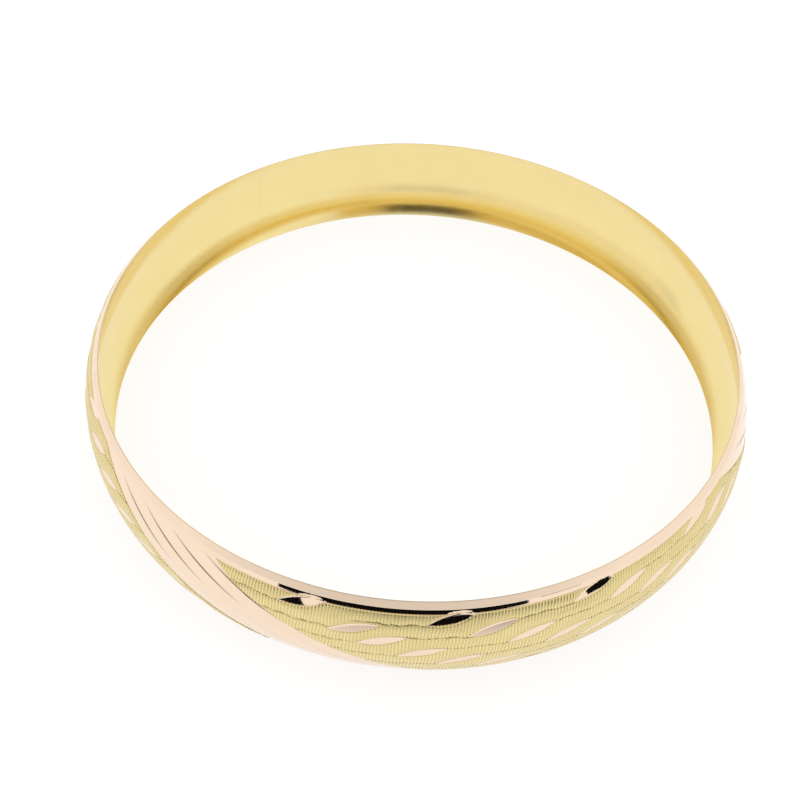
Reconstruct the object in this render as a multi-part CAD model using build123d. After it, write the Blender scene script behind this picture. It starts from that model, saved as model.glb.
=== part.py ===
from build123d import *
import math
import os

# A rigid slip-on bangle: a clad strip, domed, bent into a ring and soldered closed.
# The origin is the centre of the ring on the plane it lies on, +Z is the ring's axis.
# All sizes are in millimetres and all angles in degrees.

# The ring
inside_diameter = 62.0
outside_diameter = 65.86
band_width = 10.5
dome_radius = 9.65  # of the outer skin, across the band

# The layers of the wall, from the inside out
wall_at_crown = 0.56
liner_at_crown = 0.12
liner_at_rim = 0.06
skin_thickness = 0.10
rim_land = 0.12  # flat ring that the bangle lies on, liner and rose layer together

# The bevelled border and the smooth margin beside it, at both rims
border_tilt = 42.0  # how far its outward normal leans from the horizontal
margin_width = 0.45

# The pattern repeats three times round the ring
repeats = 3
first_rose_panel = -149.0  # left edge of a fluted panel, at pattern_start below the rim
rose_panel_width = 27.5
pattern_start = 1.0
pattern_slope = 4.15  # degrees round the ring for each millimetre down the dome

# Flutes of a rose panel: shallow grooves with two sloping sides
flutes_per_panel = 4
flute_width = 1.52
flute_depth = 0.08
flute_stations = 7

# Leaf-shaped cuts through a textured panel
leaf_columns = 4
leaf_rows = 7
first_leaf_column = -104.5  # centre of the top leaf of the first column
leaf_column_pitch = 22.1
leaf_first_depth = 1.3  # down the dome from the rim
leaf_row_pitch = 1.32
leaf_row_shift = 5.9  # degrees each row moves along the ring
leaf_length = 4.2
leaf_width = 0.95
leaf_tilt = 16.5

# The solder joint
seam_angle = 127.7
seam_thickness = 0.12

# Worked out from the above
half_width = band_width / 2
rim_radius = inside_diameter / 2
crown_radius = outside_diameter / 2
dome_centre = crown_radius - dome_radius
rose_radius = dome_radius - skin_thickness
inner_crown = crown_radius - wall_at_crown
liner_crown = inner_crown + liner_at_crown
liner_rim = rim_radius + liner_at_rim
land_edge = rim_radius + rim_land
rim_lean = math.asin(half_width / dome_radius)  # lean of the dome where it meets the rim plane


def border_length():
    """The width of the bevel, from the rim land down to where it meets the rose dome."""
    lean = math.radians(border_tilt)
    out = land_edge - dome_centre
    along = out * math.sin(lean) - half_width * math.cos(lean)
    beyond = out**2 + half_width**2 - rose_radius**2
    return -along + math.sqrt(along**2 - beyond)


border_width = border_length()
border_edge = land_edge + border_width * math.sin(math.radians(border_tilt))
border_height = half_width - border_width * math.cos(math.radians(border_tilt))
margin_lean = math.asin(border_height / rose_radius) - margin_width / rose_radius
repeat_angle = 360.0 / repeats


def on_dome(radius, lean, turn=0.0):
    """A point of a dome of this cross-section radius, leaning up from the crown, turned round the ring."""
    out = dome_centre + radius * math.cos(lean)
    height = half_width + radius * math.sin(lean)
    angle = math.radians(turn)
    return Vector(out * math.cos(angle), out * math.sin(angle), height)


def outward(lean, turn):
    """The outward normal of the dome at that place."""
    angle = math.radians(turn)
    return Vector(
        math.cos(lean) * math.cos(angle),
        math.cos(lean) * math.sin(angle),
        math.sin(lean),
    )


def lean_at(depth):
    """The lean of the dome this far down it from the upper rim."""
    return rim_lean - depth / dome_radius


def slanted(start, depth):
    """Where a slanted line that starts at this angle has got to, this far down the dome."""
    return start + pattern_slope * (depth - pattern_start)


def cross_section(radius, height):
    """A point of the wall's cross-section."""
    return Vector(radius, 0, height)


def rim_arc(at_rim, at_crown):
    """An arc across the wall, from the lower rim over the crown to the upper rim."""
    return ThreePointArc(
        cross_section(at_rim, 0),
        cross_section(at_crown, half_width),
        cross_section(at_rim, band_width),
    )


def ring_of(lines):
    """The ring whose wall has this closed outline."""
    outline = make_face(Curve() + lines)
    return revolve(outline, Axis.Z, 360)


def liner_ring():
    """The polished inside layer: hollow behind the dome, with its edge showing at both rims."""
    inside = rim_arc(rim_radius, inner_crown)
    outside = rim_arc(liner_rim, liner_crown)
    top = Line(inside @ 1, outside @ 1)
    bottom = Line(inside @ 0, outside @ 0)
    return ring_of([inside, outside, top, bottom])


def rose_ring():
    """The rose layer: rim land, bevelled border and the dome under the skin."""
    inside = rim_arc(liner_rim, liner_crown)
    upper_land = cross_section(land_edge, band_width)
    lower_land = cross_section(land_edge, 0)
    dome = ThreePointArc(
        cross_section(border_edge, half_width - border_height),
        cross_section(dome_centre + rose_radius, half_width),
        cross_section(border_edge, half_width + border_height),
    )
    return ring_of(
        [
            inside,
            Line(inside @ 1, upper_land),
            Line(upper_land, dome @ 1),
            dome,
            Line(dome @ 0, lower_land),
            Line(lower_land, inside @ 0),
        ]
    )


def skin_ring():
    """The outer skin all the way round, before the rose panels are taken out of it."""
    under = ThreePointArc(
        on_dome(rose_radius, -margin_lean),
        on_dome(rose_radius, 0),
        on_dome(rose_radius, margin_lean),
    )
    over = ThreePointArc(
        on_dome(dome_radius, -margin_lean),
        on_dome(dome_radius, 0),
        on_dome(dome_radius, margin_lean),
    )
    return ring_of([under, over, Line(under @ 0, over @ 0), Line(under @ 1, over @ 1)])


def rose_panel_wedge(turn):
    """A slanted wedge that takes one rose panel's width out of the skin."""
    near = rim_radius - 4
    far = crown_radius + 4
    slices = []
    steps = 8
    for step in range(steps + 1):
        lean = margin_lean * 1.1 * (2 * step / steps - 1)
        start = slanted(first_rose_panel, (rim_lean - lean) * dome_radius) + turn
        height = half_width + dome_radius * math.sin(lean)
        corners = []
        for radius, angle in (
            (near, start),
            (far, start),
            (far, start + rose_panel_width),
            (near, start + rose_panel_width),
        ):
            spread = math.radians(angle)
            corners.append((radius * math.cos(spread), radius * math.sin(spread), height))
        slices.append(make_face(Polyline(corners, close=True)))
    return loft(slices, ruled=True)


def flute_place(start, along):
    """A place on a flute that runs from the upper margin, along = -1, to the lower one, along = 1."""
    lean = -along * margin_lean
    turn = slanted(start, (rim_lean - lean) * dome_radius)
    return on_dome(rose_radius, lean, turn), outward(lean, turn)


def flute_cutter(start):
    """A long wedge with its edge sunk into the rose dome, from margin to margin."""
    reach = 2.5  # how many times its depth the wedge stands out of the groove
    sections = []
    for station in range(flute_stations):
        along = 2 * station / (flute_stations - 1) - 1
        surface, normal = flute_place(start, along)
        ahead, _ = flute_place(start, along + 0.01)
        plane = Plane(origin=surface, x_dir=normal, z_dir=(ahead - surface).normalized())
        height = reach * flute_depth
        half_wide = flute_width / 2 * (1 + reach)
        wedge = [(-flute_depth, 0), (height, half_wide), (height, -half_wide)]
        sections.append(plane * make_face(Polyline(wedge, close=True)))
    return loft(sections)


def leaf_cutter(column, row):
    """A prism with a pointed-oval outline, square to the dome at the leaf's centre."""
    lean = lean_at(leaf_first_depth + row * leaf_row_pitch)
    turn = first_leaf_column + column * leaf_column_pitch + row * leaf_row_shift
    angle = math.radians(turn)
    along = Vector(-math.sin(angle), math.cos(angle), 0)
    floor = on_dome(rose_radius - 1, lean, turn)
    plane = Plane(origin=floor, x_dir=along, z_dir=outward(lean, turn)).rotated((0, 0, leaf_tilt))
    upper = ThreePointArc((-leaf_length / 2, 0), (0, leaf_width / 2), (leaf_length / 2, 0))
    lower = ThreePointArc((-leaf_length / 2, 0), (0, -leaf_width / 2), (leaf_length / 2, 0))
    leaf = make_face(Curve() + [upper, lower])
    return extrude(plane * leaf, 2)


def textured_panel():
    """One field of the skin between two rose panels, with its leaf-shaped windows."""
    field = skin_ring()
    for repeat in range(repeats):
        field -= rose_panel_wedge(repeat * repeat_angle)
    middle = first_leaf_column + leaf_column_pitch * 1.5 + leaf_row_shift * 3
    field = field.solids().sort_by_distance(on_dome(dome_radius, 0, middle))[0]
    for column in range(leaf_columns):
        for row in range(leaf_rows):
            field -= leaf_cutter(column, row)
    return field


def fluted_rose_ring():
    """The rose layer with the flutes of its three panels scooped out."""
    ring = rose_ring()
    pitch = rose_panel_width / flutes_per_panel
    for repeat in range(repeats):
        for flute in range(flutes_per_panel):
            start = first_rose_panel + (flute + 0.5) * pitch + repeat * repeat_angle
            ring -= flute_cutter(start)
    return ring


def seam_slice():
    """The thin upright slice of the wall that the solder fills."""
    slab = Box(4, seam_thickness, 2 * band_width)
    return Rot(0, 0, seam_angle) * Pos(rim_radius + 1, 0, half_width) * slab


liner = liner_ring()
rose = fluted_rose_ring()
gap = seam_slice()
panel = textured_panel()

parts = {
    "inner_liner": liner - gap,
    "rose_band": rose - gap,
    "seam_solder": (liner + rose) & gap,
}
for number in range(repeats):
    parts[f"textured_panel_{number + 1}"] = Rot(0, 0, number * repeat_angle) * panel

os.makedirs("parts", exist_ok=True)
for name, shape in parts.items():
    shape.label = name
    export_step(shape, f"parts/{name}.step")
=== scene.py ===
import math

import bpy
import numpy as np
from mathutils import Matrix, Vector
from mathutils.geometry import delaunay_2d_cdt


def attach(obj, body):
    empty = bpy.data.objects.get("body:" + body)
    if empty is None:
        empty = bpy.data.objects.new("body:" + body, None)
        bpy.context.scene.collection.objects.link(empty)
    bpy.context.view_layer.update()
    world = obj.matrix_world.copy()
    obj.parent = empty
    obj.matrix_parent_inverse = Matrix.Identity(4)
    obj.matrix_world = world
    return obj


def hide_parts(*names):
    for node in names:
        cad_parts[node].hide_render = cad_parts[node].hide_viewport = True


# A rigid gold bangle lying on a pale floor. Lengths are in millimetres and angles in degrees,
# and turn into metres where a mesh or the stage is made. Depth is measured down the dome from the
# upper rim, and lift outward from the dome's surface.

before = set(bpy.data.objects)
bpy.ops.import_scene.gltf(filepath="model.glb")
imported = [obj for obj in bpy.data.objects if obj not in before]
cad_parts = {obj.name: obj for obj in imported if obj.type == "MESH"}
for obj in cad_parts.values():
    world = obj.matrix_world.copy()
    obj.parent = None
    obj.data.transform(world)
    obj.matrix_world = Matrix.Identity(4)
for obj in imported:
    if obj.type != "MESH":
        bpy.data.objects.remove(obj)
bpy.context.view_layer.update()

MM = 0.001

# Driving dimensions, the same as in the CAD
inside_diameter = 62.0
outside_diameter = 65.86
band_width = 10.5
dome_radius = 9.65
wall_at_crown = 0.56
liner_at_crown = 0.12
skin_thickness = 0.10
repeats = 3
first_rose_panel = -149.0
rose_panel_width = 27.5
pattern_start = 1.0
pattern_slope = 4.15
flutes_per_panel = 4
leaf_columns = 4
leaf_rows = 7
first_leaf_column = -104.5
leaf_column_pitch = 22.1
leaf_first_depth = 1.3
leaf_row_pitch = 1.32
leaf_row_shift = 5.9
leaf_tilt = 16.5
seam_angle = 127.7
seam_thickness = 0.12

# Sizes that only the looks need
land_width = 0.055
seam_stand = 0.002  # the filed seam is hardly proud of the wall
seam_sink = 0.2  # below the dome, so that it stays under the skin
seam_steps = 36
seam_turns = 4
layer_edge = 0.02  # the liner's outer edge, in from the land's
layer_gap = 0.002  # between the liner and the rose layer
layer_steps = 12
liner_steps = 48
liner_turns = 1080
rim_ease = 0.002
land_ease = 0.006
land_groove = 0.03  # how deep the line between the two golds is at the rim
liner_ease = 0.012
liner_ease_height = 0.02
lower_bow = 2.3  # how the inner wall's bow is spread, below and above its middle; 2 is nearly a plain arc
upper_bow = 1.7
bevel_edge_radius = 31.51
bevel_edge_height = 4.84  # above the crown
margin_start = 0.421
margin_end = 0.88
margin_row_count = 6
crisp_edge = 0.014  # the mesh row that keeps the margin's edge sharp
under_gap = 0.01  # how far the skin's hidden edge goes below the cut beside it
under_step = 20  # the hidden ground has one point for so many of the grid's rows and columns
under_clear = 0.3  # and none this close to a cut
edge_roll = 0.012  # how far the ribs' ends drop beside a margin or under a leaf
edge_roll_width = 0.22
scallop_width = 0.13  # the ribs' valleys run down to the rose gold this close to a cut edge
scallop_depth = 0.05
ribs = 711  # all the way round
rib_columns = 4  # columns of the mesh for each rib
rib_height = 0.06
rib_flank = 0.55  # how high a rib is half way up its side, as a share
rib_spread = 0.3  # how much the ribs differ in height, as a share
rib_bend = 0.065
steady_bend = 0.6  # the share of the ribs' bend that does not come and go round the ring
rib_reach = 0.08  # how far the ridges reach past the valleys at a cut edge
row_step = 0.0625
strip_pillow = 0.03
track_depth = 0.06
track_width = 0.058
track_wave = 0.4
slow_wander = 0.07  # two irregular drifts of the tracks, and a step at each rib
quick_wander = 0.05
track_jag = 0.07
second_wave = 0.2  # the tracks' shorter wave, as a share of the longer one
track_least = 0.25  # how faint a track gets, as a share
track_gaps = 0.35  # the share of the ribs where it is faint
track_presence = 0.8  # 3 would leave no faint stretches, and -2 nothing else
track_growth = 1.5  # how quickly a track grows away from a leaf, and where it starts to
track_start = 0.15
ramp_slope = 3.0  # how steeply the skin rises beside a cut
leaf_length = 4.5  # a little longer than the CAD's 4.2
leaf_sink = 0.035
leaf_cut_depth = 0.085
leaf_hollow = 0.05
end_leaf_hollow = 0.10  # of the leaves in the top and the bottom row
end_leaf_lean = 1.1  # how much deeper the left half of such a leaf is
end_leaf_cut_depth = 0.14
leaf_up = 0.43
leaf_down = 0.46
leaf_valley = 0.21
leaf_end = 1.3  # half lengths from a leaf's middle where its outline is no longer looked at
leaf_band = 2.2  # a leaf touches no row of the mesh further from its middle than this
far_away = 9.0
stray_leaf = (0, 1)  # row 1 of the first column stands a little off its place
stray_leaf_turn = 1.7
stray_leaf_depth = 0.25
end_leaf_scale = 1.2
shoulder_width = 0.85
shoulder_depth = 0.045
shoulder_fullness = 1.25  # above 1, it keeps its full depth nearer to the leaf's ends
shoulder_shift = 0.05  # half lengths to the left
# painted light: the smooth shoulder's brightness, on the same painted scale as the ribs
shoulder_painted_light = 0.35  # how bright the smooth shoulder is, as a height on a rib
least_skin = 0.008  # what is left of the skin in the deepest valley
facet_hollow = 0.03
line_depth = 0.06
line_width = 0.085
panel_overlap = 0.5  # degrees of rose gold past the last line
corner_cut = 1.9  # degrees the skin's upper left corner is cut back
corner_depth = 1.3
line_reach = 3.7
lower_line = 0.3  # the lines of the lower half are this much fainter

# Worked out from the above
half_width = band_width / 2
rim_radius = inside_diameter / 2
crown_radius = outside_diameter / 2
dome_centre = crown_radius - dome_radius
rim_lean = math.asin(half_width / dome_radius)
dome_arc = 2 * rim_lean * dome_radius
inner_crown = crown_radius - wall_at_crown
liner_crown = inner_crown + liner_at_crown
repeat_angle = 360.0 / repeats
chain_step = leaf_column_pitch - leaf_row_shift
chain_rise = leaf_row_pitch / chain_step
strip_pitch = leaf_row_pitch + leaf_row_shift * chain_rise
land_radius = rim_radius + land_width
slant = math.atan2(1.0, math.radians(pattern_slope) * crown_radius)


def hashed(*parts):
    """A repeatable number from 0 to 1 for each set of whole numbers."""
    total = np.zeros(np.broadcast(*parts).shape)
    for weight, part in zip((12.9898, 78.233, 37.719), parts):
        total = total + weight * part
    wave = np.sin(total) * 43758.5453
    return wave - np.floor(wave)


def circle_radius(depth):
    """The ring's radius where the dome is this far down from the rim."""
    return dome_centre + dome_radius * np.cos(rim_lean - depth / dome_radius)


def place(turn, depth, lift):
    """Points of the outer surface, in metres."""
    lean = rim_lean - depth / dome_radius
    out = dome_centre + (dome_radius + lift) * np.cos(lean)
    height = half_width + (dome_radius + lift) * np.sin(lean)
    angle = np.radians(turn)
    return np.stack([out * np.cos(angle), out * np.sin(angle), height], axis=-1) * MM


# --- The outer surface as heights on a grid ---------------------------------------------------

columns = ribs * rib_columns
margin_rows = np.linspace(margin_start, margin_end - crisp_edge, margin_row_count)
edge_rows = margin_end + row_step * np.array([0, 0.33, 0.67])
pattern_rows = np.arange(margin_end + row_step, dome_arc / 2, row_step)
upper_rows = np.concatenate([margin_rows, edge_rows, pattern_rows])
depths = np.concatenate([upper_rows, dome_arc - upper_rows[::-1]])
depth = np.repeat(depths[:, None], columns, axis=1)
column = np.repeat(np.arange(columns)[None, :], len(depths), axis=0)
turn = column * (360.0 / columns) - 180.0


def pattern_place(turn, depth):
    """Which repeat a point is in, how far it is past the rose panel's left edge, and past the first leaf."""
    past_edge = turn - (first_rose_panel + pattern_slope * (depth - pattern_start))
    repeat = np.floor(past_edge / repeat_angle)
    return repeat, past_edge - repeat * repeat_angle, turn - first_leaf_column - repeat * repeat_angle


def strips(past_leaf, depth):
    """Strip number, whole on the tracks between strips, and place along the chain, whole at the leaves.

    The drifts are plain waves of unrelated lengths, so that they do not seem to repeat.
    """
    chain = (depth - leaf_first_depth + chain_rise * past_leaf) / strip_pitch
    along = (past_leaf - leaf_row_shift * chain) / chain_step
    wave = -track_wave * (np.sin(2 * np.pi * along) + second_wave * np.sin(4 * np.pi * along))
    wander = slow_wander * np.sin(0.9 * past_leaf + 2.1 * chain)
    wander = wander + quick_wander * np.sin(2.3 * past_leaf - 1.3 * chain)
    jagged = track_jag * (hashed(column // rib_columns, np.round(chain)) - 0.5)
    return chain - (wave + wander + jagged) / strip_pitch, along


repeat, past_edge, past_leaf = pattern_place(turn, depth)
strip, along = strips(past_leaf, depth)
bend = rib_bend * np.sin(2 * np.pi * strip) * (steady_bend + (1 - steady_bend) * np.sin(0.35 * past_leaf))
turn = turn + np.degrees(bend / circle_radius(depth))
repeat, past_edge, past_leaf = pattern_place(turn, depth)
strip, along = strips(past_leaf, depth)

strip_number = np.floor(strip)
across = strip - strip_number
edge_distance = np.minimum(across, 1 - across) * strip_pitch
phase = (column + strip_number.astype(int)) % rib_columns
rib_number = (column + strip_number.astype(int)) // rib_columns
ridge = np.choose(phase, [0.0, rib_flank, 1.0, rib_flank])
rib_size = rib_height * (1 - rib_spread / 2 + rib_spread * hashed(rib_number, strip_number))

# Leaf cuts: the lowest cut surface at every point, and the smooth shoulder above each leaf
edge = np.full(turn.shape, far_away)
base = np.full(turn.shape, -skin_thickness)


def add_cut(where, outside, surface):
    """Take this cut into the distance to the nearest cut's edge and the surface that it leaves."""
    both = (outside < 0) & (edge[where] < 0)
    nearer = outside < edge[where]
    lower = np.minimum(surface, base[where])
    base[where] = np.where(both, lower, np.where(nearer, surface, base[where]))
    edge[where] = np.minimum(edge[where], outside)


shoulder = np.zeros(turn.shape)
from_margin = np.minimum(depth, dome_arc - depth) - margin_end
roll = np.clip(1 - from_margin / edge_roll_width, 0, 1) ** 2
scallop = np.clip(1 - from_margin / scallop_width, 0, 1)
tilt = math.radians(leaf_tilt)
half_leaf = leaf_length / 2


def on_leaf(leaf_column, row, near):
    """Places on a leaf: along it, in half lengths from its middle, and across it, up from its axis."""
    stray = (leaf_column, row) == stray_leaf
    leaf_depth = leaf_first_depth + row * leaf_row_pitch + stray_leaf_depth * stray
    centre = leaf_column * leaf_column_pitch + row * leaf_row_shift + stray_leaf_turn * stray
    dx = np.radians(past_leaf[near] - centre) * circle_radius(depth[near])
    dy = leaf_depth - depth[near]
    along_leaf = (dx * math.cos(tilt) + dy * math.sin(tilt)) / half_leaf
    return along_leaf, -dx * math.sin(tilt) + dy * math.cos(tilt)


def cut_leaf(leaf_column, row):
    """A pointed-oval cut with two slopes that meet in a valley, and the smooth shoulder above it."""
    near = np.abs(depths - leaf_first_depth - row * leaf_row_pitch) < leaf_band
    a, b = on_leaf(leaf_column, row, near)
    end_row = row in (0, leaf_rows - 1)
    scale = end_leaf_scale if end_row else 1.0
    oval = 1 - a**2
    upper_edge = scale * leaf_up * oval
    lower_edge = -scale * leaf_down * oval
    valley = scale * leaf_valley * oval
    outside = np.maximum(b - upper_edge, lower_edge - b) + rib_reach * (ridge[near] - 0.5)
    span = np.where(b > valley, upper_edge - valley, lower_edge - valley)
    share = np.clip((b - valley) / np.where(np.abs(span) < 1e-6, 1e-6, span), 0, 1)
    hollow_here = end_leaf_hollow * (1 - end_leaf_lean * a) if end_row else leaf_hollow
    cut_here = end_leaf_cut_depth if end_row else leaf_cut_depth
    surface = -leaf_sink - np.clip(oval, 0, 1) * (hollow_here + cut_here * (1 - share))
    outside = np.where(np.abs(a) > leaf_end, far_away, outside)
    add_cut(near, outside, surface)
    over = np.clip(1 - (b - upper_edge) / shoulder_width, 0, 1) * (b > valley)
    window = np.clip(shoulder_fullness * (1 - (a + shoulder_shift) ** 2), 0, 1)
    shoulder[near] = np.maximum(shoulder[near], over * over * (3 - 2 * over) * window)
    under = np.clip(1 - (lower_edge - b) / edge_roll_width, 0, 1) * (b < valley) * (np.abs(a) < 1)
    roll[near] = np.maximum(roll[near], under**2)
    beside = np.clip(1 - outside / scallop_width, 0, 1) * (np.abs(a) < 1)
    scallop[near] = np.maximum(scallop[near], beside)


for row in range(leaf_rows):
    for leaf_column in range(leaf_columns):
        cut_leaf(leaf_column, row)

# The textured skin
fade = 1 - shoulder
between_leaves = 0.5 - 0.5 * np.cos(2 * np.pi * along)
patch = np.sin(0.7 * past_leaf + 2.6 * strip_number) + np.sin(1.7 * past_leaf - 4.1 * strip_number)
deep = (hashed(rib_number, strip_number + 7) > track_gaps) * np.clip(track_presence + patch, 0, 1)
dots = track_least + (1 - track_least) * deep
track_mask = np.clip(between_leaves * track_growth - track_start, 0, 1) * dots * fade
# The tracks between strips: how deep they are cut, and how much painted shade darkens them
track = np.exp(-((edge_distance / track_width) ** 2)) * track_mask
texture = (
    -(rib_size * fade + scallop_depth * scallop) * (1 - ridge)
    - strip_pillow * (1 - 4 * across * (1 - across))
    - track_depth * track
    - shoulder_depth * shoulder
    - edge_roll * roll
)
texture = np.clip(texture, least_skin - skin_thickness, 0)

# The smooth margins and the rose panels
beyond = from_margin + rib_reach * (ridge - 1)
corner = corner_cut * np.clip(1 - (depth - margin_end) / corner_depth, 0, 1)
outside_panel = np.maximum(-past_edge, past_edge - rose_panel_width - panel_overlap - corner)
nearer_next = past_edge > 0.5 * (repeat_angle + rose_panel_width)
outside_panel = np.where(nearer_next, repeat_angle - past_edge, outside_panel)
panel_distance = np.radians(outside_panel) * circle_radius(depth) * math.sin(slant)
flute = past_edge * flutes_per_panel / rose_panel_width
flute_number = np.round(flute)
line_distance = np.radians((flute - flute_number) * rose_panel_width / flutes_per_panel)
line_distance = line_distance * circle_radius(depth) * math.sin(slant)
from_edge = from_margin / line_reach
lens = np.clip(4 * from_edge * (1 - from_edge), 0, 1) * (from_edge > 0)
lens = lens * np.where(depth < dome_arc / 2, 1.0, lower_line)
on_line = (flute_number >= 0) & (flute_number <= flutes_per_panel)
# The sharp lines: how deep each is cut, and how much painted shade darkens it
line = np.exp(-((line_distance / (line_width * (0.5 + 0.5 * lens))) ** 2)) * lens * on_line
in_flute = flute - np.floor(flute)
hollow = facet_hollow * 4 * in_flute * (1 - in_flute) * (outside_panel < 0)
hollow = hollow * np.clip(from_edge * 4, 0, 1)
whole = np.ones(len(depths), bool)
add_cut(whole, beyond, np.full(turn.shape, -skin_thickness))
add_cut(whole, panel_distance, -skin_thickness - hollow - line_depth * line)

is_rose = edge < 0
lift = np.where(is_rose, base, np.minimum(texture, base + ramp_slope * edge))
# Painted light and shade: the ribs' tops bright and their valleys dull, the smooth shoulder in between
rib_painted_light = ridge * fade + shoulder_painted_light * (1 - fade)


# --- Meshes ------------------------------------------------------------------------------------


def make_object(name, points, faces, attributes, material, smooth_faces=None):
    """A mesh object from points in metres and faces of any size; those after the smooth ones are flat."""
    mesh = bpy.data.meshes.new(name)
    mesh.vertices.add(len(points))
    mesh.vertices.foreach_set("co", np.asarray(points, np.float32).ravel())
    sizes = np.array([len(face) for face in faces], np.int32)
    starts = np.concatenate([[0], np.cumsum(sizes)[:-1]]).astype(np.int32)
    flat = np.concatenate([np.asarray(face, np.int32) for face in faces])
    mesh.loops.add(int(sizes.sum()))
    mesh.loops.foreach_set("vertex_index", flat)
    mesh.polygons.add(len(sizes))
    mesh.polygons.foreach_set("loop_start", starts)
    mesh.update(calc_edges=True)
    smooth = np.ones(len(faces), bool)
    smooth[smooth_faces:] = smooth_faces is None
    mesh.polygons.foreach_set("use_smooth", smooth)
    for attribute, values in attributes.items():
        layer = mesh.attributes.new(attribute, "FLOAT", "POINT")
        layer.data.foreach_set("value", np.asarray(values, np.float32))
    obj = bpy.data.objects.new(name, mesh)
    bpy.context.scene.collection.objects.link(obj)
    mesh.materials.append(material)
    return obj


def split_grid(inside, wanted, corners_apart):
    """The faces of the grid inside the zero line, as vertex keys; wanted picks the cells.

    Where only two opposite corners of a cell are inside, corners_apart makes two triangles of them.
    """
    rows, cols = inside.shape
    right = np.roll(inside, -1, axis=1)
    count = (
        inside[:-1].astype(int) + right[:-1].astype(int) + inside[1:].astype(int) + right[1:].astype(int)
    )
    whole = np.argwhere((count == 4) & wanted)
    mixed = np.argwhere((count > 0) & (count < 4) & wanted)
    i, j = whole[:, 0], whole[:, 1]
    k = (j + 1) % cols
    quads = np.stack([i * cols + j, (i + 1) * cols + j, (i + 1) * cols + k, i * cols + k], axis=1)
    across_edge = rows * cols
    down_edge = 2 * rows * cols
    polygons = []
    for i, j in mixed.tolist():
        k = (j + 1) % cols
        corners = [(i, j), (i + 1, j), (i + 1, k), (i, k)]
        keys = [
            down_edge + i * cols + j,
            across_edge + (i + 1) * cols + j,
            down_edge + i * cols + k,
            across_edge + i * cols + j,
        ]
        flags = [bool(inside[c]) for c in corners]
        loop = []
        for n in range(4):
            if flags[n]:
                loop.append(corners[n][0] * cols + corners[n][1])
            if flags[n] != flags[(n + 1) % 4]:
                loop.append(keys[n])
        if flags == [True, False, True, False] or flags == [False, True, False, True]:
            first = 0 if flags[0] else 1
            if corners_apart:
                for n in (first, first + 2):
                    before = keys[(n - 1) % 4]
                    polygons.append([before, corners[n][0] * cols + corners[n][1], keys[n]])
                continue
        polygons.append(loop)
    return quads, polygons


def key_values(field, keys):
    """The grid's values at vertices and, between two of them, where the zero line crosses."""
    rows, cols = field.shape
    total = rows * cols
    kind = keys // total
    base = keys % total
    i, j = base // cols, base % cols
    k = np.where(kind == 1, (j + 1) % cols, j)
    m = np.where(kind == 2, i + 1, i)
    m = np.minimum(m, rows - 1)
    f0, f1 = edge[i, j], edge[m, k]
    share = np.where(kind == 0, 0.0, f0 / np.where(np.abs(f0 - f1) < 1e-12, 1e-12, f0 - f1))
    return field[i, j] * (1 - share) + field[m, k] * share


def key_places(keys):
    """The angle and the depth of those vertices."""
    east = key_values(np.cos(np.radians(turn)), keys)
    north = key_values(np.sin(np.radians(turn)), keys)
    return np.degrees(np.arctan2(north, east)), key_values(depth, keys)


def key_points(keys):
    """The points of those vertices."""
    angle, down = key_places(keys)
    height = np.where(keys < turn.size, key_values(lift, keys), key_values(base, keys))
    return place(angle, down, height)


def wall_face(top_first, top_second, low_first, low_second):
    """A wall of four corners, or of three where its lower ones are the same."""
    return [top_first, top_second, low_second, low_first][: 3 if low_first == low_second else 4]


def inside_of(triangles, border):
    """The triangles to the left of the directed border, out of all of them."""
    fence = {tuple(pair) for pair in border}
    beside = {}
    for n, face in enumerate(triangles):
        for a, b in zip(face, face[1:] + face[:1]):
            beside[(a, b)] = n
    waiting = [beside[pair] for pair in fence if pair in beside]
    inside = set(waiting)
    while waiting:
        face = triangles[waiting.pop()]
        for a, b in zip(face, face[1:] + face[:1]):
            other = beside.get((b, a))
            if (a, b) not in fence and other is not None and other not in inside:
                inside.add(other)
                waiting.append(other)
    return [triangles[n] for n in sorted(inside)]


def underside(quads, polygons, middle):
    """The edge of a patch of skin and the face that it lies on: (points, walls, triangles)."""
    loops = [quads] + [np.array([p], int) for p in polygons]
    pairs = [np.stack([loop, np.roll(loop, -1, axis=1)], axis=-1) for loop in loops]
    ends = np.concatenate([pair.reshape(-1, 2) for pair in pairs])
    code = ends[:, 0] * key_range + ends[:, 1]
    back = ends[:, 1] * key_range + ends[:, 0]
    open_ends = ends[~np.isin(code, back)]
    edge_keys, numbers = np.unique(open_ends, return_inverse=True)
    numbers = numbers.reshape(-1, 2)
    angle, down = key_places(edge_keys)
    angle = (angle - middle + 180.0) % 360.0 - 180.0
    sunk = np.minimum(-skin_thickness, key_values(base, edge_keys) - under_gap)
    inner = np.unique(quads)
    inner = inner[(inner // columns % under_step == 0) & (inner % columns % under_step == 0)]
    inner = inner[key_values(edge, inner) > under_clear]
    inner_angle, inner_down = key_places(inner)
    inner_angle = (inner_angle - middle + 180.0) % 360.0 - 180.0
    flat_x = np.concatenate([angle, inner_angle]) * math.radians(crown_radius)
    flat_y = -np.concatenate([down, inner_down])
    sites = [Vector(pair) for pair in zip(flat_x.tolist(), flat_y.tolist())]
    found = delaunay_2d_cdt(sites, numbers.tolist(), [], 0, 1e-9)
    where_is = np.zeros(len(sites), int)
    depth_of = np.full(len(found[0]), -skin_thickness)
    for new, old in enumerate(found[3]):
        for site in old:
            where_is[site] = new
            if site < len(sunk):
                depth_of[new] = min(depth_of[new], sunk[site])
    flat = np.array([tuple(vertex) for vertex in found[0]])
    triangles = inside_of([list(face) for face in found[2]], where_is[numbers].tolist())
    points = place(flat[:, 0] / math.radians(crown_radius) + middle, -flat[:, 1], depth_of)
    walls = np.column_stack([open_ends, where_is[numbers]]).tolist()
    return points, walls, triangles


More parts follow.
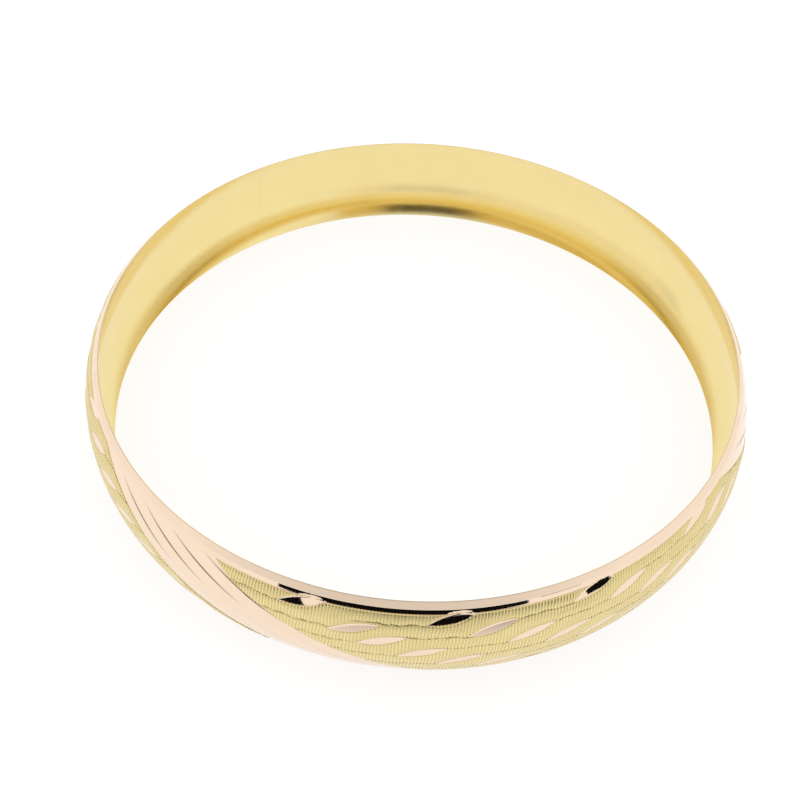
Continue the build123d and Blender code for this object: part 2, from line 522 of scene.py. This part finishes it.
def grid_piece(quads, polygons):
    """Vertex keys and faces, numbered from zero."""
    flat = np.concatenate([quads.ravel()] + [np.array([v for p in polygons for v in p], int)])
    keys, numbers = np.unique(flat, return_inverse=True)
    faces = [list(q) for q in numbers[: quads.size].reshape(-1, 4)]
    at = quads.size
    for p in polygons:
        faces.append(list(numbers[at : at + len(p)]))
        at += len(p)
    return keys, faces


# --- Materials ---------------------------------------------------------------------------------


def linear(red, green, blue):
    """A screen colour as linear light."""
    out = []
    for value in (red, green, blue):
        value = value / 255
        out.append(value / 12.92 if value <= 0.04045 else ((value + 0.055) / 1.055) ** 2.4)
    return (*out, 1.0)


noise_scale = 900.0  # of the metals' wear; their clouds are wider and their scratches finer
cloud_scale = 0.35
cloud_share = 0.25  # how much the clouds change a colour that follows an attribute
least_rough = 0.8
most_rough = 1.25
scratch_scale = 1.2
scratch_stretch = (1.0, 1.0, 14.0)
scratch_height = 0.00001
# painted shade, near-black, in the sharp lines between the flutes and in the line between the two golds
line_painted_shade = (0.05, 0.03, 0.02, 1.0)
# painted shade in the engraved tracks between the strips
track_painted_shade = (0.13, 0.08, 0.03, 1.0)


def gold(name, dull, bright, roughness, attribute=None, painted_shade_attribute=None, dark=line_painted_shade, scratch=0.0):
    """A metal whose colour and roughness vary a little; an attribute may move its colour from dull to bright
    and another mix in a dark colour, both painted light and shade; scratch is how strong its fine scratches
    are.
    """
    material = bpy.data.materials.new(name)
    material.use_nodes = True
    nodes = material.node_tree.nodes
    links = material.node_tree.links
    shader = nodes["Principled BSDF"]
    shader.inputs["Metallic"].default_value = 1.0
    coordinates = nodes.new("ShaderNodeTexCoord")
    cloud = nodes.new("ShaderNodeTexNoise")
    cloud.inputs["Scale"].default_value = noise_scale * cloud_scale
    cloud.inputs["Detail"].default_value = 3.0
    links.new(coordinates.outputs["Object"], cloud.inputs["Vector"])
    mix = nodes.new("ShaderNodeMix")
    mix.data_type = "RGBA"
    mix.inputs["A"].default_value = dull
    mix.inputs["B"].default_value = bright
    if attribute:
        value = nodes.new("ShaderNodeAttribute")
        value.attribute_name = attribute
        add = nodes.new("ShaderNodeMath")
        add.operation = "MULTIPLY_ADD"
        add.inputs[1].default_value = cloud_share
        links.new(cloud.outputs["Fac"], add.inputs[0])
        shift = nodes.new("ShaderNodeMath")
        shift.operation = "SUBTRACT"
        shift.inputs[1].default_value = cloud_share / 2
        links.new(value.outputs["Fac"], shift.inputs[0])
        links.new(shift.outputs[0], add.inputs[2])
        links.new(add.outputs[0], mix.inputs["Factor"])
    else:
        links.new(cloud.outputs["Fac"], mix.inputs["Factor"])
    colour = mix.outputs["Result"]
    if painted_shade_attribute:
        value = nodes.new("ShaderNodeAttribute")
        value.attribute_name = painted_shade_attribute
        darken = nodes.new("ShaderNodeMix")
        darken.data_type = "RGBA"
        darken.inputs["B"].default_value = dark
        links.new(value.outputs["Fac"], darken.inputs["Factor"])
        links.new(colour, darken.inputs["A"])
        colour = darken.outputs["Result"]
    links.new(colour, shader.inputs["Base Color"])
    wear = nodes.new("ShaderNodeTexNoise")
    wear.inputs["Scale"].default_value = noise_scale
    wear.inputs["Detail"].default_value = 4.0
    links.new(coordinates.outputs["Object"], wear.inputs["Vector"])
    rough = nodes.new("ShaderNodeMapRange")
    rough.inputs["To Min"].default_value = roughness * least_rough
    rough.inputs["To Max"].default_value = roughness * most_rough
    links.new(wear.outputs["Fac"], rough.inputs["Value"])
    links.new(rough.outputs["Result"], shader.inputs["Roughness"])
    if scratch > 0:
        stretch = nodes.new("ShaderNodeMapping")
        stretch.inputs["Scale"].default_value = scratch_stretch
        links.new(coordinates.outputs["Object"], stretch.inputs["Vector"])
        lines = nodes.new("ShaderNodeTexNoise")
        lines.inputs["Scale"].default_value = noise_scale * scratch_scale
        lines.inputs["Detail"].default_value = 2.0
        links.new(stretch.outputs["Vector"], lines.inputs["Vector"])
        bump = nodes.new("ShaderNodeBump")
        bump.inputs["Strength"].default_value = scratch
        bump.inputs["Distance"].default_value = scratch_height
        links.new(lines.outputs["Fac"], bump.inputs["Height"])
        links.new(bump.outputs["Normal"], shader.inputs["Normal"])
    return material


liner_gold = gold("polished_yellow_gold", linear(237, 217, 152), linear(242, 223, 161), 0.15, scratch=0.02)
rose_gold = gold(
    "rose_gold",
    linear(240, 215, 190),
    linear(243, 220, 197),
    0.045,
    # painted shade in the sharp lines and in the line between the two golds at the rim
    painted_shade_attribute="line",
    scratch=0.03,
)
# its rib attribute paints the ribs' tops bright and their valleys dull gold, as light and shade
skin_gold = gold(
    "engraved_yellow_gold",
    linear(205, 186, 122),
    linear(240, 221, 166),
    0.25,
    attribute="rib",
    # painted shade in the engraved tracks
    painted_shade_attribute="painted_track_shade",
    dark=track_painted_shade,
)
solder_gold = gold("gold_solder", linear(235, 214, 152), linear(240, 220, 158), 0.15, scratch=0.02)


# --- The pieces --------------------------------------------------------------------------------

key_range = 3 * turn.size
panel_of = np.floor(repeat + (past_edge - rose_panel_width / 2) / repeat_angle).astype(int) % repeats
hidden = []
for number in range(repeats):
    quads, polygons = split_grid(~is_rose, panel_of[:-1] == number, False)
    keys, faces = grid_piece(quads, polygons)
    middle = first_rose_panel + (rose_panel_width + repeat_angle) / 2 + number * repeat_angle
    middle += pattern_slope * (dome_arc / 2 - pattern_start)
    under_points, walls, triangles = underside(quads, polygons, middle)
    hidden.append((under_points, walls, triangles))
    smooth_faces = len(faces)
    number_of = {key: n for n, key in enumerate(keys.tolist())}
    at = len(keys)
    faces += [wall_face(number_of[b], number_of[a], at + d, at + c) for a, b, c, d in walls]
    faces += [[at + n for n in face[::-1]] for face in triangles]
    none = np.zeros(len(under_points))
    panel = make_object(
        f"textured_panel_{number + 1}_engraved",
        np.concatenate([key_points(keys), under_points]),
        faces,
        {
            "rib": np.concatenate([key_values(rib_painted_light, keys), none]),
            "painted_track_shade": np.concatenate([key_values(track, keys), none]),
        },
        skin_gold,
        smooth_faces,
    )
    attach(panel, "root")
    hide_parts(f"textured_panel_{number + 1}")


def circle_points(radius, height, angle):
    """Points at these angles on a level circle, in metres."""
    level = np.full(len(angle), height)
    return np.stack([radius * np.cos(angle), radius * np.sin(angle), level], axis=1) * MM


def arc_profile(at_rim, at_crown, steps):
    """Points of a bow across the wall, from the lower rim to the upper one."""
    out = []
    for n in range(steps + 1):
        share = math.sin(math.pi * (n / steps - 0.5))
        power = lower_bow if share < 0 else upper_bow
        radius = at_rim + (at_crown - at_rim) * (1 - abs(share) ** power)
        out.append((radius, half_width * (1 + share)))
    return out


def revolved(name, outline, material, turns, first=0.0, last=360.0):
    """A closed ring with this outline, or a closed slice of one."""
    whole_ring = last - first >= 360.0
    steps = turns if whole_ring else turns + 1
    angle = np.radians(first + np.arange(steps) * ((last - first) / turns))
    points = []
    for radius, height in outline:
        points.append(circle_points(radius, height, angle))
    faces = []
    for row in range(len(outline)):
        here = row * steps + np.arange(steps)
        there = ((row + 1) % len(outline)) * steps + np.arange(steps)
        strip = np.stack([here, there, np.roll(there, -1), np.roll(here, -1)], axis=1)
        faces.extend(strip[:turns].tolist())
    if not whole_ring:
        corner = (np.arange(len(outline)) * steps).tolist()
        for n in range(len(outline) // 2 - 1):
            cap = [corner[n], corner[-1 - n], corner[-2 - n], corner[n + 1]]
            faces.append(cap)
            faces.append([number + turns for number in cap[::-1]])
    return make_object(name, np.concatenate(points), faces, {}, material, None if whole_ring else 0)


# The rose layer: what shows of the grid, the bevels and rims, the back, and the ground under the skin
quads, polygons = split_grid(is_rose, np.ones(panel_of[:-1].shape, bool), True)
keys, faces = grid_piece(quads, polygons)
number_of = {key: n for n, key in enumerate(keys.tolist())}
bevel_shares = (0.97, 0.85, 0.68, 0.5, 0.32, 0.15, 0.03)  # from the margin to the land
# painted shadow in the line where the two golds meet at the rim
land_painted_shadow = [0.15, 0.5, 1.0]  # how dark the line between the two golds is, at its last three rings
bevel = []
for share in bevel_shares:
    bevel.append(
        (
            land_radius + (bevel_edge_radius - land_radius) * share,
            band_width + (bevel_edge_height - half_width) * share,
        )
    )
bevel.append((land_radius - land_ease, band_width - rim_ease))
bevel.append((land_radius - layer_edge, band_width - land_groove))
bevel_painted_shadow = [0.0] * (len(bevel) - len(land_painted_shadow)) + land_painted_shadow
back = arc_profile(land_radius - layer_edge + layer_gap, liner_crown + layer_gap, layer_steps)[1:-1]
profile = bevel + back[::-1] + [(radius, band_width - height) for radius, height in bevel[::-1]]
# Painted shadow: the line between the golds, and all of the rose layer's back against the liner
rim_painted_shadow = bevel_painted_shadow + [1.0] * len(back) + bevel_painted_shadow[::-1]
around = np.radians(np.arange(columns) * (360.0 / columns) - 180.0)
points = [key_points(keys)]
line_values = [key_values(line * is_rose, keys)]
count = len(keys)
previous = np.array([number_of[j] for j in range(columns)])
last_row = np.array([number_of[(len(depths) - 1) * columns + j] for j in range(columns)])
for n in range(len(profile) + 1):
    if n < len(profile):
        radius, height = profile[n]
        points.append(circle_points(radius, height, around))
        line_values.append(np.full(columns, rim_painted_shadow[n]))
        current = count + np.arange(columns)
        count += columns
    else:
        current = last_row
    band = np.stack([current, previous, np.roll(previous, -1), np.roll(current, -1)], axis=1)
    faces.extend(band.tolist())
    previous = current
smooth_faces = len(faces)
for under_points, walls, triangles in hidden:
    faces += [wall_face(number_of[a], number_of[b], count + c, count + d) for a, b, c, d in walls]
    faces += [[count + n for n in face] for face in triangles]
    points.append(under_points)
    line_values.append(np.zeros(len(under_points)))
    count += len(under_points)
rose = make_object(
    "rose_band_cut",
    np.concatenate(points),
    faces,
    {"line": np.concatenate(line_values)},
    rose_gold,
    smooth_faces,
)
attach(rose, "root")
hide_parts("rose_band")

# The liner: a whole ring, its inner corners slightly eased
outer = arc_profile(land_radius - layer_edge, liner_crown, layer_steps)
lower_corner = [(rim_radius + liner_ease, rim_ease), (rim_radius, liner_ease_height)]
upper_corner = [(radius, band_width - height) for radius, height in lower_corner[::-1]]
inner = arc_profile(rim_radius, inner_crown, liner_steps)[1:-1]
outline = lower_corner + inner + upper_corner + outer[::-1]
liner = revolved("inner_liner_polished", outline, liner_gold, liner_turns)
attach(liner, "root")
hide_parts("inner_liner")


# The solder: a thin slice of the wall
def seam_outline():
    """The outline of the solder across the wall: flush inside and on the bevels, and sunk under the dome."""
    bevel_slope = (bevel_edge_radius - land_radius) / (half_width - bevel_edge_height)
    inside = arc_profile(rim_radius - seam_stand, inner_crown - seam_stand, seam_steps)
    outside = []
    for _, height in inside:
        above_crown = abs(height - half_width)
        on_bevel = land_radius + seam_stand + (half_width - above_crown) * bevel_slope
        under_dome = dome_centre + math.sqrt((dome_radius - seam_sink) ** 2 - above_crown**2)
        outside.append((min(on_bevel, under_dome), height))
    return inside + outside[::-1]


seam_spread = math.degrees(seam_thickness / rim_radius)
seam = revolved(
    "seam_solder_line",
    seam_outline(),
    solder_gold,
    seam_turns,
    seam_angle - seam_spread / 2,
    seam_angle + seam_spread / 2,
)
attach(seam, "root")
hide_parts("seam_solder")

# --- The stage ---------------------------------------------------------------------------------

studio_light = 1.05
scene = bpy.context.scene
scene.view_settings.view_transform = "Standard"
scene.view_settings.look = "None"
world = bpy.data.worlds.new("studio")
scene.world = world
world.use_nodes = True
background = world.node_tree.nodes["Background"]
background.inputs["Color"].default_value = (1.0, 1.0, 1.0, 1.0)
background.inputs["Strength"].default_value = studio_light


def plain(name, colour, glow=0.0):
    """A matt surface that may also glow."""
    material = bpy.data.materials.new(name)
    material.use_nodes = True
    shader = material.node_tree.nodes["Principled BSDF"]
    shader.inputs["Base Color"].default_value = (*colour, 1.0)
    shader.inputs["Roughness"].default_value = 1.0
    shader.inputs["Specular IOR Level"].default_value = 0.0
    shader.inputs["Emission Color"].default_value = (1.0, 1.0, 1.0, 1.0)
    shader.inputs["Emission Strength"].default_value = glow
    return material


def stage_mesh(name, points, faces, material):
    """Something of the studio, not part of the object."""
    mesh = bpy.data.meshes.new(name)
    mesh.from_pydata(points, [], faces)
    mesh.materials.append(material)
    obj = bpy.data.objects.new(name, mesh)
    scene.collection.objects.link(obj)
    return obj


floor_reach = 3.0


def floor_sheet(name, height, material):
    """A wide level square."""
    corners = ((-1, -1), (1, -1), (1, 1), (-1, 1))
    points = [(x * floor_reach, y * floor_reach, height) for x, y in corners]
    return stage_mesh(name, points, [(0, 1, 2, 3)], material)


floor_sheet("floor", 0, plain("floor_white", (0.3, 0.3, 0.3), 0.75))


def card_material(name):
    """A surface as bright as its glow attribute says."""
    material = bpy.data.materials.new(name)
    material.use_nodes = True
    nodes = material.node_tree.nodes
    nodes.clear()
    glow = nodes.new("ShaderNodeAttribute")
    glow.attribute_name = "glow"
    emission = nodes.new("ShaderNodeEmission")
    output = nodes.new("ShaderNodeOutputMaterial")
    material.node_tree.links.new(glow.outputs["Fac"], emission.inputs["Strength"])
    material.node_tree.links.new(emission.outputs[0], output.inputs["Surface"])
    return material


card_surface = card_material("card_surface")


def reflected_only(obj):
    """Only reflections show this part of the studio."""
    obj.visible_camera = False
    obj.visible_diffuse = False
    obj.visible_shadow = False
    obj.visible_transmission = False
    return obj


def card(name, places, low, high, glow):
    """An upright card through these (x, y) places, with a brightness at each of them."""
    points = [(x, y, z) for x, y in places for z in (low, high)]
    faces = [(2 * n, 2 * n + 2, 2 * n + 3, 2 * n + 1) for n in range(len(places) - 1)]
    obj = reflected_only(stage_mesh(name, points, faces, card_surface))
    layer = obj.data.attributes.new("glow", "FLOAT", "POINT")
    layer.data.foreach_set("value", [value for value in glow for _ in range(2)])
    return obj


card_distance = 0.12
black = 0.004
# The first blackens the front margin and two leaf cuts, the second one leaf cut further right
for name, left, right, low, high in (
    ("card_front", -0.072, 0.073, 0.0022, 0.027),
    ("card_side", 0.083, 0.125, 0.0105, 0.030),
):
    card(name, [(left, -card_distance), (right, -card_distance)], low, high, [black, black])
# The upper one is as bright as the studio at its ends, and dimmer in the middle
upper_dimming = 0.25
upper = [math.radians(-150 + 5 * n) for n in range(25)]
card(
    "card_front_upper",
    [(card_distance * math.cos(angle), card_distance * math.sin(angle)) for angle in upper],
    0.04,
    0.2,
    [studio_light - upper_dimming * math.cos((angle + math.pi / 2) * 1.5) for angle in upper],
)
warm_stops = (
    (-228, 0.1),
    (-219, 0.1),
    (-214, 1.0),
    (-118, 1.0),
    (-106, 0.08),
    (-72, 0.08),
    (-64, 1.0),
    (-43, 1.0),
)  # angle round the ring, and how bright the card is there
warm_angles = np.arange(warm_stops[0][0], warm_stops[-1][0] + 1, 3.0)
warm_radius = 0.0295  # it stands over the ring's opening, just above the rim
warm_low = 0.0107
warm_high = 0.022
warm_colour = (0.74, 0.54, 0.20, 1.0)
warm = card(
    "card_warm",
    [
        (warm_radius * math.cos(math.radians(angle)), warm_radius * math.sin(math.radians(angle)))
        for angle in warm_angles.tolist()
    ],
    warm_low,
    warm_high,
    np.interp(warm_angles, *zip(*warm_stops)).tolist(),
)
warm_surface = card_surface.copy()
warm_surface.name = "card_warm"
warm_surface.node_tree.nodes["Emission"].inputs["Color"].default_value = warm_colour
warm.data.materials[0] = warm_surface

gloss = plain("floor_gloss", (0.3, 0.3, 0.3), 0.78)
gloss_shader = gloss.node_tree.nodes["Principled BSDF"]
gloss_shader.inputs["Coat Weight"].default_value = 1.0
gloss_shader.inputs["Coat IOR"].default_value = 1.7
gloss_shader.inputs["Coat Roughness"].default_value = 0.08
gloss_height = 0.00002  # just clear of the floor
reflected_only(floor_sheet("floor_gloss", gloss_height, gloss))

# The photo's view, in metres: a fit of a domed ring to the four edges seen in it gave these values
camera_data = bpy.data.cameras.new("camera")
camera_data.lens = 50.81
camera_data.sensor_width = 36.0
camera_data.clip_start = 0.001
camera = bpy.data.objects.new("camera", camera_data)
scene.collection.objects.link(camera)
eye = Vector((0.0, -0.0796847, 0.0882353))
target = Vector((-0.0016182, 0.0000217, 0.0))
forward = (target - eye).normalized()
side = forward.cross(Vector((0, 0, 1))).normalized()
above = side.cross(forward)
roll = math.radians(2.931)
right = math.cos(roll) * side + math.sin(roll) * above
upward = -math.sin(roll) * side + math.cos(roll) * above
camera.matrix_world = Matrix(
    (
        (right.x, upward.x, -forward.x, eye.x),
        (right.y, upward.y, -forward.y, eye.y),
        (right.z, upward.z, -forward.z, eye.z),
        (0, 0, 0, 1),
    )
)
scene.camera = camera
